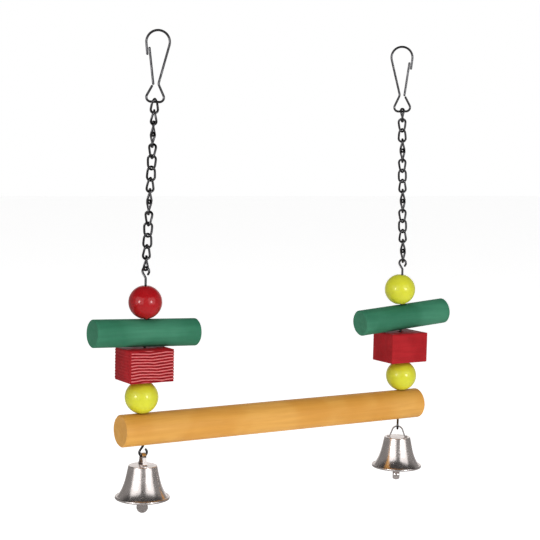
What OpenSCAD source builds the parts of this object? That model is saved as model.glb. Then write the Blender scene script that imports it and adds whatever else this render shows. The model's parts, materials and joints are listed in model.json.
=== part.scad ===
// Bird swing: a round wooden perch hung from two twisted-link chains.
// Each end of the perch is held by a wire rod, which also carries a stack of loose wooden pieces
// above the perch and a small bell under it. A sprung wire hook at the top of each chain clips to
// the cage. Millimetres and degrees, +Z up, X along the perch. The origin is on the line through
// the two hook seats, above the middle of the perch.

/* [Perch] */
// Length of the perch
perch_l = 219; // [180:1:300]
// Diameter of the perch
perch_d = 19.2; // [14:0.2:26]
// Bevel at each end of the perch
perch_bevel = 0.7; // [0.3:0.1:2]
// Hole for a rod
perch_hole_d = 2.4; // [2:0.1:4]

/* [Rods] */
// Distance from each end of the perch to its rod
rod_inset = 15.2; // [10:0.1:24]
// Diameter of a rod's wire
rod_wire = 1.4; // [1:0.1:2]
// Bend radius of an eye's loop, to the middle of the wire
eye_r = 2.3; // [2.1:0.1:3]
// Length of an eye, from the split to the far side of its loop
eye_l = 6.3; // [5.8:0.1:9]
// Bend radius where the wire leaves the rod for the eye
eye_bend_r = 1; // [0.8:0.1:1.6]
// Free gap between the wire's end and the rod
eye_nip = 0.2; // [0.1:0.1:1]
// Bare rod between the highest bead and the split of the top eye
free_stem = 3.6; // [2:0.2:10]
// Gap between the perch's underside and the split of the bottom eye
under_gap = 0.4; // [0.2:0.1:2]
// Direction of the top eyes
top_eye_turn = -60; // [-180:1:180]

/* [Stack of wooden pieces] */
// Diameter of a bead
bead_d = 20; // [14:0.5:26]
// Diameter of the small flats at a bead's hole
bead_flat_d = 5.6; // [5.2:0.1:8]
// Hole through each bead, dowel and block
stack_bore = 5; // [3:0.1:5]
// Length of a cross dowel
dowel_l = 68; // [40:1:78]
// Diameter of a cross dowel
dowel_d = 16.5; // [12:0.5:22]
// Bevel at each end of a cross dowel
dowel_bevel = 0.6; // [0.3:0.1:2]
// Tilt of the left cross dowel on its loose rod
dowel_tilt_left = 1.9; // [-5:0.1:5]
// Tilt of the right cross dowel on its loose rod
dowel_tilt_right = -4.6; // [-5:0.1:5]
// Length of a block, along the perch
block_x = 28.4; // [20:0.2:36]
// Depth of a block
block_y = 21.9; // [16:0.1:30]
// Height of a block
block_h = 19.2; // [12:0.2:30]
// Bevel along a block's edges
block_bevel = 0.5; // [0.2:0.1:1.5]
// Gap between one piece of the stack and the next
stack_play = 0.2; // [0.1:0.05:1]

/* [Chains] */
// Number of links in a chain
link_count = 15; // [4:1:18]
// Diameter of a link's wire
link_wire = 1.4; // [1:0.1:1.5]
// Outer width of a link
link_w = 6; // [5.8:0.1:7]
// Inner length of a link
link_in = 6.85; // [6.6:0.05:8]
// Twist from a link's lower end to its upper end
link_twist = 57; // [40:1:70]
// Gap between one link and the next
link_play = 0.3; // [0.1:0.05:0.4]
// Inward lean of each chain and hook from the vertical
lean = 2.5; // [0:0.1:5]

/* [Hooks] */
// Diameter of a hook's wire
hook_wire = 1.4; // [1:0.1:1.6]
// Outer height of a hook
hook_h = 42.8; // [36:0.2:50]
// Outer width of a hook's upper arch
hook_w = 15; // [13:0.2:18]
// Outer width of a hook's lower loop
hook_loop_w = 11.6; // [10:0.2:13]
// Bend radius of the lower loop's corners, to the middle of the wire
hook_loop_r = 2.6; // [1.8:0.1:3]
// Clear gap between the legs at the waist
waist_gap = 1.6; // [1.2:0.1:3]
// Height of the lower loop, from its underside to the waist
waist_h = 11.1; // [9:0.1:14]
// Bend radius at the waist, to the middle of the wire
waist_r = 3; // [1:0.1:4]
// Depth of the nose's tip under the seat
nose_drop = 13.3; // [10:0.1:16]
// Inward slope of the nose
nose_slope = 8; // [2:0.5:14]
// Depth of the gate's tip under the seat
gate_drop = 9.9; // [8.5:0.1:11]
// Gap between the gate and the nose that it rests on, and at the gate's root
gate_play = 0.15; // [0.1:0.05:0.3]
// Turn of both hooks on the cage wires
hook_turn = -30; // [-60:1:60]

/* [Bells] */
// Height of a bell's shell
bell_h = 20.1; // [14:0.1:30]
// Radius of the flat crown
crown_r = 8.7; // [8:0.1:12]
// Outer radius of the rolled lip
rim_r = 16.5; // [14:0.1:22]
// Wall of the shell
bell_wall = 0.7; // [0.5:0.05:1.2]
// Radius of the rolled lip's round edge
lip_r = 0.9; // [0.7:0.05:1.4]
// Radius of the crown's outer corner
crown_round = 0.5; // [0.2:0.1:1]
// Height of the strap over the crown
strap_h = 7.6; // [6.8:0.1:9]
// Width of the strap's strip
strap_w = 2.4; // [1.6:0.1:2.6]
// Thickness of the strap's strip
strap_t = 0.9; // [0.6:0.05:1.1]
// Bend radius of the strap's arch, to the middle of the strip
strap_r = 3.6; // [3.3:0.1:4.5]
// Outward slope of the strap's legs
strap_slope = 20; // [5:1:24]
// Length of a strap's foot
strap_foot = 1.7; // [1.2:0.1:2.2]
// Bend radius where a leg meets its foot
strap_foot_r = 0.8; // [0.6:0.1:1]
// Gap between the strap and the eye that it hangs on
strap_play = 0.1; // [0.05:0.05:0.4]
// Turn of the left bell's strap
strap_turn_left = -103; // [-180:1:180]
// Turn of the right bell's strap
strap_turn_right = -37; // [-180:1:180]

/* [Clappers] */
// Diameter of the wire of the loop under the crown and of the clapper's ring
clapper_wire = 1; // [0.8:0.05:1.2]
// Depth of the loop under the crown, to the middle of its wire
loop_h = 4; // [3.6:0.1:6]
// Width of that loop, to the middle of its wire
loop_w = 4; // [3.6:0.1:6]
// Bend radius of that loop, to the middle of its wire
loop_r = 1.4; // [1:0.1:1.7]
// Radius of the clapper's ring, to the middle of its wire
ring_r = 1.5; // [1.3:0.1:1.7]
// Gap between the clapper's ring and the loop
ring_play = 0.2; // [0.1:0.05:0.4]
// How far the clapper's tip hangs under the rim
clapper_show = 8.8; // [4:0.1:14]
// Diameter of the clapper's head
clapper_d = 7; // [4:0.1:9]
// Thickness of the clapper's flattened head
clapper_t = 4.6; // [2:0.1:6]
// Length of the clapper's head
clapper_head_l = 10.5; // [8:0.1:14]
// Turn of the left clapper's flat faces
clapper_turn_left = -28; // [-180:1:180]
// Turn of the right clapper's flat faces
clapper_turn_right = 53; // [-180:1:180]

/* [Hidden] */
$fn = 48;
LEFT = 0;
RIGHT = 1;
SIDE_NAMES = ["left", "right"];

// A cut runs past its solid by this much
overrun = 1;
// Straights shorter than this are left out of a bent wire
least_straight = 0.001;
// A wire's pieces are joined by balls this much wider than the wire, in gaps of this length
seam_over = 0.02;
seam_gap = 0.05;

// Steps round each end of a link, down each side of it, and round its wire
link_end_steps = 8;
link_side_steps = 2;
link_wire_sides = 8;
// First link's turn, steady turn from link to link, and extra turn over the first few
link_start = [12, -118];
link_step = [30, 36];
link_early_step = [-8.5, 15];
link_early_count = 3;

// Loose pieces sit to one side of the rod by these shares of the play in their holes
top_bead_shares = [0, -0.85];
dowel_shares = [0, 0.5];
lower_bead_shares = [-0.85, 0.85];
stack_slack = (stack_bore - rod_wire) / 2;

// Share of the bell's flare that is straight, and the power of the rest
flare_straight_share = 0.55;
flare_power = 4;
flare_steps = 14;
corner_steps = 4;
head_steps = 12;
strap_steps = 9;

// Colours as the pieces are stained and plated
orange_stain = [0.84, 0.62, 0.29];
green_stain = [0.2, 0.48, 0.37];
red_stain = [0.74, 0.15, 0.19];
red_gloss = [0.72, 0.1, 0.13];
yellow_gloss = [0.88, 0.87, 0.27];
steel = [0.72, 0.73, 0.75];
nickel = [0.62, 0.61, 0.6];

// Distance between the two rods
rod_gap = perch_l - 2 * rod_inset;

// Chain and hook, as depths from the seat along the leaning line
link_pitch = link_in - link_play;
bar_top = hook_h - 2 * hook_wire;
first_top = bar_top - link_play;
function joint_drop(k) = first_top + link_play / 2 + k * link_pitch;
function link_drop(k) = first_top + link_in / 2 + (k - 1) * link_pitch;
eye_drop = joint_drop(link_count) - link_play / 2 - rod_wire / 2;
seat_x = rod_gap / 2 - eye_drop * sin(lean);

// Stack, as heights over the perch's axis
bead_h = sqrt(bead_d * bead_d - bead_flat_d * bead_flat_d);
dowel_tilts = [dowel_tilt_left, dowel_tilt_right];
block_reach = min(norm([block_x, block_y]), dowel_l) / 2;
lower_bead_z = perch_d / 2 + stack_play + bead_h / 2;
block_z = lower_bead_z + bead_h / 2 + stack_play + block_h / 2;
function tilt_rise(side, reach) = reach * tan(abs(dowel_tilts[side]));
function dowel_half(side) = dowel_d / 2 / cos(dowel_tilts[side]);
function dowel_z(side) =
    block_z + block_h / 2 + stack_play + dowel_half(side) + tilt_rise(side, block_reach);
function top_bead_z(side) =
    dowel_z(side) + dowel_half(side) + tilt_rise(side, bead_flat_d / 2) + stack_play + bead_h / 2;
stack_top = max(top_bead_z(LEFT), top_bead_z(RIGHT)) + bead_h / 2;

// Rod, as heights over the perch's axis
top_split_z = stack_top + free_stem;
rod_h = top_split_z + eye_l;
bottom_split_z = -perch_d / 2 - under_gap;
eye_bar_z = bottom_split_z - eye_l + rod_wire / 2;
perch_z = -(eye_drop * cos(lean) + rod_h);

// Bell and clapper, as heights over the perch's axis
eye_hole_r = eye_r - rod_wire / 2;
strap_seat = eye_hole_r - sqrt(eye_hole_r * eye_hole_r - strap_w * strap_w / 4);
crown_z = eye_bar_z + strap_seat + strap_play + strap_t - strap_h;
rim_z = crown_z - bell_h;
loop_bar_z = crown_z - bell_wall - loop_h;
ring_z = loop_bar_z + clapper_wire + ring_play - ring_r;
clapper_tip_z = rim_z - clapper_show;
strap_turns = [strap_turn_left, strap_turn_right];
clapper_turns = [clapper_turn_left, clapper_turn_right];

function two_digits(k) = str(k < 10 ? "0" : "", k);
function link_name(side, k) = str("link_", SIDE_NAMES[side], "_", two_digits(k));

// Places: at the seat of a side's hook with Z up its leaning line, and at a rod on the perch's axis

module at_seat(side) {
    inward = side == LEFT ? 1 : -1;
    translate([-inward * seat_x, 0, 0]) rotate([0, inward * lean, 0]) children();
}

module at_rod(side) {
    outward = side == LEFT ? -1 : 1;
    translate([outward * rod_gap / 2, 0, perch_z]) children();
}

// A wire bent through points in the XZ plane, with a bend radius at each inner point

function unit(v) = v / norm(v);
function reverse(list) = [for (i = [len(list) - 1:-1:0]) list[i]];
function heading(points, i) = unit(points[i + 1] - points[i]);
function turn_at(points, i) =
    let (a = heading(points, i - 1), b = heading(points, i))
    atan2(a[0] * b[1] - a[1] * b[0], a[0] * b[0] + a[1] * b[1]);
function trim_at(points, radii, i) =
    i == 0 || i == len(points) - 1 ? 0 : radii[i] * tan(abs(turn_at(points, i)) / 2);

function straight_length(points, radii, i) =
    norm(points[i + 1] - points[i]) - trim_at(points, radii, i) - trim_at(points, radii, i + 1);

// A ball joins two stretches, with its poles along the wire, so that both cut it in rounds of latitude

module ball(point, way, d) {
    translate([point[0], 0, point[1]])
        rotate([0, atan2(way[0], way[1]), 0]) sphere(d = d + seam_over);
}

module straight(points, radii, i, d) {
    way = heading(points, i);
    start = points[i] + way * (trim_at(points, radii, i) + seam_gap);
    translate([start[0], 0, start[1]])
        rotate([0, atan2(way[0], way[1]), 0])
            cylinder(d = d, h = straight_length(points, radii, i) - 2 * seam_gap);
}

module bend(points, radii, i, d) {
    way = heading(points, i - 1);
    turn = turn_at(points, i);
    start = points[i] - way * trim_at(points, radii, i);
    inward = sign(turn) * [-way[1], way[0]];
    centre = start + radii[i] * inward;
    first = atan2(-inward[1], -inward[0]) + min(turn, 0);
    translate([centre[0], 0, centre[1]])
        rotate([90, 0, 0])
            rotate([0, 0, first])
                rotate_extrude(angle = abs(turn))
                    translate([radii[i], 0]) circle(d = d);
}

module bent_wire(points, radii, d) {
    last = len(points) - 1;
    ball(points[0], heading(points, 0), d);
    ball(points[last], heading(points, last - 1), d);
    for (i = [0:last - 1])
        if (straight_length(points, radii, i) > least_straight) {
            straight(points, radii, i, d);
            if (i > 0)
                ball(points[i] + heading(points, i) * trim_at(points, radii, i), heading(points, i), d);
        }
    for (i = [1:last - 1]) {
        bend(points, radii, i, d);
        ball(points[i] - heading(points, i - 1) * trim_at(points, radii, i), heading(points, i - 1), d);
    }
}

// Perch: a round bar with a hole for each rod

module bevelled_bar(l, d, bevel) {
    rotate([0, 90, 0])
        rotate_extrude()
            polygon([
                [0, -l / 2], [d / 2 - bevel, -l / 2], [d / 2, -l / 2 + bevel],
                [d / 2, l / 2 - bevel], [d / 2 - bevel, l / 2], [0, l / 2]
            ]);
}

module perch() {
    color(orange_stain)
        difference() {
            translate([0, 0, perch_z]) bevelled_bar(perch_l, perch_d, perch_bevel);
            for (side = [LEFT, RIGHT])
                at_rod(side)
                    cylinder(d = perch_hole_d, h = perch_d + 2 * overrun, center = true);
        }
}

// Rod: one wire with a closed eye bent at each end, the loop centred on the rod

eye_split = asin(eye_r / (eye_l - eye_r));
eye_corner = eye_l * tan(eye_split);
eye_tip = (rod_wire + eye_nip) * [1, 1 / tan(eye_split)];
eye_points = [[0, -free_stem], [0, 0], [-eye_corner, eye_l], [eye_corner, eye_l], eye_tip];
eye_radii = [0, eye_bend_r, eye_r, eye_r, 0];

module rod_eye() {
    bent_wire(eye_points, eye_radii, rod_wire);
}

module rod(side) {
    stem_z = bottom_split_z + free_stem + seam_gap;
    color(steel)
        at_rod(side) {
            translate([0, 0, stem_z]) cylinder(d = rod_wire, h = stack_top - seam_gap - stem_z);
            translate([0, 0, top_split_z]) rotate([0, 0, top_eye_turn]) rod_eye();
            translate([0, 0, bottom_split_z])
                rotate([0, 0, strap_turns[side] + 90]) mirror([0, 0, 1]) rod_eye();
        }
}

// Stack: two beads, a block and a cross dowel, threaded loosely on each rod

module bead(side, z, share) {
    at_rod(side)
        translate([share * stack_slack, 0, z])
            difference() {
                intersection() {
                    sphere(d = bead_d);
                    cube([bead_d + overrun, bead_d + overrun, bead_h], center = true);
                }
                cylinder(d = stack_bore, h = bead_d, center = true);
            }
}

module lower_bead(side) {
    color(yellow_gloss) bead(side, lower_bead_z, lower_bead_shares[side]);
}

module top_bead(side) {
    color(side == LEFT ? red_gloss : yellow_gloss)
        bead(side, top_bead_z(side), top_bead_shares[side]);
}

module bevelled_prism(x, y, h, bevel) {
    a = x / 2;
    b = y / 2;
    linear_extrude(h, center = true)
        polygon([
            [a - bevel, -b], [a, -b + bevel], [a, b - bevel], [a - bevel, b],
            [-a + bevel, b], [-a, b - bevel], [-a, -b + bevel], [-a + bevel, -b]
        ]);
}

module block(side) {
    color(red_stain)
        at_rod(side)
            translate([0, 0, block_z])
                difference() {
                    intersection() {
                        bevelled_prism(block_x, block_y, block_h, block_bevel);
                        rotate([90, 0, 0]) bevelled_prism(block_x, block_h, block_y, block_bevel);
                        rotate([0, 90, 0]) bevelled_prism(block_h, block_y, block_x, block_bevel);
                    }
                    cylinder(d = stack_bore, h = block_h + 2 * overrun, center = true);
                }
}

module dowel(side) {
    color(green_stain)
        at_rod(side)
            translate([dowel_shares[side] * stack_slack, 0, dowel_z(side)])
                rotate([0, dowel_tilts[side], 0])
                    difference() {
                        bevelled_bar(dowel_l, dowel_d, dowel_bevel);
                        cylinder(d = stack_bore, h = dowel_d + 2 * overrun, center = true);
                    }
}

// Hook: one bent wire, from the nose over the arch, down one leg, round the lower loop and up to
// the waist, where the gate carries it on. The seat, on the underside of the arch, is at the top.

arch_r = (hook_w - hook_wire) / 2;
arch_z = hook_wire / 2;
loop_z = -(hook_h - 1.5 * hook_wire);
waist_drop = hook_h - hook_wire - waist_h;
waist_x = (waist_gap + hook_wire) / 2;
leg_fall = waist_drop + arch_z - arch_r;
leg_slope = asin(arch_r / norm([waist_x, leg_fall])) - atan2(waist_x, leg_fall);
loop_x = (hook_loop_w - hook_wire) / 2 - hook_loop_r;
loop_fall = -waist_drop - loop_z - hook_loop_r;
loop_slope =
    asin(hook_loop_r / norm([loop_fall, loop_x - waist_x])) + atan2(loop_x - waist_x, loop_fall);
leg_corner = arch_r * tan((90 + leg_slope) / 2);
nose_corner = arch_r * tan((90 + nose_slope) / 2);
loop_corner = waist_x - (waist_drop + loop_z) * tan(loop_slope);
function nose_x(z) = -nose_corner + (arch_z - z) * tan(nose_slope);
nose_tip = [nose_x(-nose_drop), -nose_drop];
gate_root = [-waist_x, -waist_drop];
gate_tip = [nose_x(-gate_drop) + (hook_wire + gate_play) / cos(nose_slope), -gate_drop];
loop_way = [loop_corner - waist_x, loop_z + waist_drop];
root_gap = hook_wire + seam_over + gate_play;
root_end = gate_root + root_gap / norm(loop_way) * [-loop_way[0], loop_way[1]];

hook_points = [
    nose_tip, [-nose_corner, arch_z], [leg_corner, arch_z], [waist_x, -waist_drop],
    [loop_corner, loop_z], [-loop_corner, loop_z], root_end
];
hook_radii = [0, arch_r, arch_r, waist_r, hook_loop_r, hook_loop_r, 0];

module at_hook(side) {
    at_seat(side) rotate([0, 0, hook_turn + 180 * side]) children();
}

module hook(side) {
    color(steel)
        at_hook(side)
            bent_wire(hook_points, hook_radii, hook_wire);
}

module gate(side) {
    color(steel)
        at_hook(side)
            bent_wire([gate_root, gate_tip], [0, 0], hook_wire);
}

// Chain link: an oval of wire, twisted about its length, as one swept tube

link_half = (link_in + link_wire) / 2;
link_end_r = (link_w - link_wire) / 2;
link_side = link_half - link_end_r;
link_end_angles = [for (i = [0:link_end_steps]) 180 * i / link_end_steps];
link_side_falls = [for (i = [1:link_side_steps - 1]) link_side * (1 - 2 * i / link_side_steps)];
link_outline = concat(
    [for (a = link_end_angles) [link_end_r * cos(a), link_side + link_end_r * sin(a)]],
    [for (z = link_side_falls) [-link_end_r, z]],
    [for (a = link_end_angles) [-link_end_r * cos(a), -link_side - link_end_r * sin(a)]],
    [for (z = link_side_falls) [link_end_r, -z]]
);
link_rings = len(link_outline);

function link_turn_at(z) = link_twist * z / (2 * link_half);
function link_point(i) =
    let (p = link_outline[i % link_rings], q = link_turn_at(p[1]))
    [p[0] * cos(q), p[0] * sin(q), p[1]];
function link_ring(i) =
    let (
        way = unit(link_point(i + 1) - link_point(i + link_rings - 1)),
        q = link_turn_at(link_outline[i][1]),
        out = unit(cross([-sin(q), cos(q), 0], way)),
        up = cross(way, out)
    )
    [
        for (j = [0:link_wire_sides - 1])
            let (a = 360 * j / link_wire_sides)
            link_point(i) + link_wire / 2 * (cos(a) * out + sin(a) * up)
    ];
link_mesh = [for (i = [0:link_rings - 1]) each link_ring(i)];
function mesh_index(i, j) = (i % link_rings) * link_wire_sides + j % link_wire_sides;
link_faces = [
    for (i = [0:link_rings - 1])
        for (j = [0:link_wire_sides - 1])
            each [
                [mesh_index(i, j), mesh_index(i, j + 1), mesh_index(i + 1, j)],
                [mesh_index(i, j + 1), mesh_index(i + 1, j + 1), mesh_index(i + 1, j)]
            ]
];

function link_turn(side, k) =
    link_start[side] + (k - 1) * link_step[side]
    + min(k - 1, link_early_count) * link_early_step[side];

module chain_link(side, k) {
    color(steel)
        at_seat(side)
            translate([0, 0, -link_drop(k)])
                rotate([0, 0, link_turn(side, k)])
                    polyhedron(link_mesh, link_faces);
}

// Bell: a thin flared shell with a rolled lip

lip_x = rim_r - lip_r;
lip_z = -bell_h + lip_r;
function flare(t) = flare_straight_share * t + (1 - flare_straight_share) * pow(t, flare_power);
function shell_x(t) = crown_r + (lip_x - crown_r) * flare(t);
bell_outside = [
    [0, -bell_wall],
    [0, 0],
    for (i = [0:corner_steps])
        let (a = 90 - 90 * i / corner_steps)
        [crown_r - crown_round * (1 - cos(a)), crown_round * (sin(a) - 1)],
    for (i = [1:flare_steps])
        let (t = i / flare_steps)
        [shell_x(t), -crown_round + (lip_z + crown_round) * t]
];
bell_inside = [
    for (i = [flare_steps:-1:1])
        let (t = i / flare_steps)
        [shell_x(t) - bell_wall, -crown_round + (lip_z + crown_round) * t],
    [crown_r - bell_wall, -bell_wall - crown_round],
    [crown_r - bell_wall - crown_round, -bell_wall]
];

module bell(side) {
    color(nickel)
        at_rod(side)
            translate([0, 0, crown_z]) {
                rotate_extrude() polygon(concat(bell_outside, bell_inside));
                translate([0, 0, lip_z])
                    rotate_extrude() translate([lip_x, 0]) circle(r = lip_r);
            }
}

// Strap: a flat strip bent over the rod's bottom eye, with its feet welded to the crown

strap_corner = strap_r * tan((90 - strap_slope) / 2);
strap_foot_x = strap_corner + (strap_h - strap_t) * tan(strap_slope);
strap_points = [
    [-strap_foot_x - strap_foot, strap_t / 2], [-strap_foot_x, strap_t / 2],
    [-strap_corner, strap_h - strap_t / 2], [strap_corner, strap_h - strap_t / 2],
    [strap_foot_x, strap_t / 2], [strap_foot_x + strap_foot, strap_t / 2]
];
strap_radii = [0, strap_foot_r, strap_r, strap_r, strap_foot_r, 0];

function bend_edge(points, radii, i, shift, steps) =
    let (
        way = heading(points, i - 1),
        turn = turn_at(points, i),
        inward = sign(turn) * [-way[1], way[0]],
        centre = points[i] - way * trim_at(points, radii, i) + radii[i] * inward,
        r = radii[i] - sign(turn) * shift,
        first = atan2(-inward[1], -inward[0])
    )
    [for (j = [0:steps]) centre + r * [cos(first + turn * j / steps), sin(first + turn * j / steps)]];
function strip_edge(points, radii, shift, steps) =
    let (last = len(points) - 1)
    [
        points[0] + [0, shift],
        for (i = [1:last - 1]) each bend_edge(points, radii, i, shift, steps),
        points[last] + [0, shift]
    ];
strap_top_edge = strip_edge(strap_points, strap_radii, strap_t / 2, strap_steps);
strap_under_edge = strip_edge(strap_points, strap_radii, -strap_t / 2, strap_steps);

module bell_strap(side) {
    color(nickel)
        at_rod(side)
            translate([0, 0, crown_z])
                rotate([90, 0, strap_turns[side]])
                    linear_extrude(strap_w, center = true)
                        polygon(concat(strap_top_edge, reverse(strap_under_edge)));
}

// Clapper: a ring on a wire loop under the crown, a stem and a flattened teardrop head

module clapper_loop(side) {
    top = crown_z - bell_wall;
    points = [
        [-loop_w / 2, top], [-loop_w / 2, loop_bar_z], [loop_w / 2, loop_bar_z], [loop_w / 2, top]
    ];
    color(steel)
        at_rod(side)
            rotate([0, 0, clapper_turns[side]])
                bent_wire(points, [0, loop_r, loop_r, 0], clapper_wire);
}

head_r = clapper_d / 2;
head_rise = clapper_head_l - head_r;
head_slope = asin((head_r - clapper_wire / 2) / head_rise);
head_outline = concat(
    [[0, -head_r]],
    [
        for (i = [1:head_steps])
            let (a = -90 + (90 + head_slope) * i / head_steps)
            [head_r * cos(a), head_r * sin(a)]
    ],
    [[clapper_wire / 2, head_rise], [0, head_rise]]
);

module clapper(side) {
    stem_top = ring_z - ring_r;
    head_z = clapper_tip_z + head_r;
    stem_z = head_z + head_rise - clapper_wire / 2;
    color(nickel)
        at_rod(side)
            rotate([0, 0, clapper_turns[side]]) {
                translate([0, 0, ring_z])
                    rotate([0, 90, 0])
                        rotate_extrude() translate([ring_r, 0]) circle(d = clapper_wire);
                translate([0, 0, stem_z]) cylinder(d = clapper_wire, h = stem_top - stem_z);
                translate([0, 0, head_z])
                    intersection() {
                        rotate_extrude() polygon(head_outline);
                        cube([clapper_d + overrun, clapper_t, 2 * clapper_head_l], center = true);
                    }
            }
}

perch();
rod(LEFT);  // rod_left
rod(RIGHT);  // rod_right
lower_bead(LEFT);  // lower_bead_left
lower_bead(RIGHT);  // lower_bead_right
block(LEFT);  // block_left
block(RIGHT);  // block_right
dowel(LEFT);  // dowel_left
dowel(RIGHT);  // dowel_right
top_bead(LEFT);  // top_bead_left
top_bead(RIGHT);  // top_bead_right
hook(LEFT);  // hook_left
hook(RIGHT);  // hook_right
gate(LEFT);  // gate_left
gate(RIGHT);  // gate_right
bell(LEFT);  // bell_left
bell(RIGHT);  // bell_right
bell_strap(LEFT);  // bell_strap_left
bell_strap(RIGHT);  // bell_strap_right
clapper_loop(LEFT);  // clapper_loop_left
clapper_loop(RIGHT);  // clapper_loop_right
clapper(LEFT);  // clapper_left
clapper(RIGHT);  // clapper_right
for (side = [LEFT, RIGHT], k = [1:link_count])
    chain_link(side, k);
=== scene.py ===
"""Dresses the bird swing: stained wood, lacquered beads, wire, twisted chain and small bells."""

import json
import logging
import math
from collections.abc import Callable, Iterable
from dataclasses import dataclass
from enum import Enum
from typing import ClassVar

import bmesh
import bpy
from mathutils import Matrix, Vector

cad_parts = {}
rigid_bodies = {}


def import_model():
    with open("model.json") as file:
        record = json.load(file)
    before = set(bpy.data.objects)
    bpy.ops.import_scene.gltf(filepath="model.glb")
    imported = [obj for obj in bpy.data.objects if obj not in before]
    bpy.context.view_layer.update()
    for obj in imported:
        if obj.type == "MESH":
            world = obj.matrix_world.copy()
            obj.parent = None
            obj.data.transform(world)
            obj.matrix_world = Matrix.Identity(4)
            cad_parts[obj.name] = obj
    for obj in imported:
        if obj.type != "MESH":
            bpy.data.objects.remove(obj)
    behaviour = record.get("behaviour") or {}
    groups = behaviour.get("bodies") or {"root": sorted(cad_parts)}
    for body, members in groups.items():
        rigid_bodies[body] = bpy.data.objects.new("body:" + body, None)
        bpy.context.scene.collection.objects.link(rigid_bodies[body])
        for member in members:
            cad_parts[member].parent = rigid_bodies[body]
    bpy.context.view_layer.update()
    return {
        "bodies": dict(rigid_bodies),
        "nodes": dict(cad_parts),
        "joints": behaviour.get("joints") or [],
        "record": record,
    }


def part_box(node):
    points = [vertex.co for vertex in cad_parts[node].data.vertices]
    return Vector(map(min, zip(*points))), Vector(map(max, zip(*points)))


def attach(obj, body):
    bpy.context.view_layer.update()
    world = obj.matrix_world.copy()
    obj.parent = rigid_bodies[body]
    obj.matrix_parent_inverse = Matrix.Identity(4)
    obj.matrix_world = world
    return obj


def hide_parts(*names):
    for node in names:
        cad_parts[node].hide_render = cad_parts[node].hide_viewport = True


LOG = logging.getLogger("bird_swing")
MM = 0.001
FULL_TURN = 2 * math.pi
WHITE = (1.0, 1.0, 1.0, 1.0)
# The sawn face's vertex values, which its wood reads: painted highlight on the crests and painted
# shade in the furrows.
CREST, FURROW = "crest", "furrow"
# How near two points must lie, in metres, to become one.
NODE_SEAM, LINK_SEAM, LATHE_SEAM = 0.00001, 0.00002, 0.000002

Triple = tuple[float, float, float]
Colour = tuple[float, float, float]
Edges = list[bmesh.types.BMEdge]
Mesh = bmesh.types.BMesh
Node = bpy.types.Node
NodeTree = bpy.types.NodeTree
Socket = bpy.types.NodeSocket


class Side(Enum):
    """The two ends of the swing, with the way along X that each one lies."""

    LEFT = -1
    RIGHT = 1

    @property
    def word(self) -> str:
        """The side's name as the frame's nodes write it."""
        return self.name.lower()


class Slot(Enum):
    """The record's material slots."""

    PERCH = "perch_wood"
    GREEN = "green_wood"
    RED = "red_wood"
    RED_BEAD = "red_bead"
    YELLOW_BEAD = "yellow_bead"
    WIRE = "steel_wire"
    BELL = "bell_metal"


def rgba(colour: Colour) -> tuple[float, float, float, float]:
    """A colour with full alpha."""
    return (*colour, 1.0)


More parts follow.
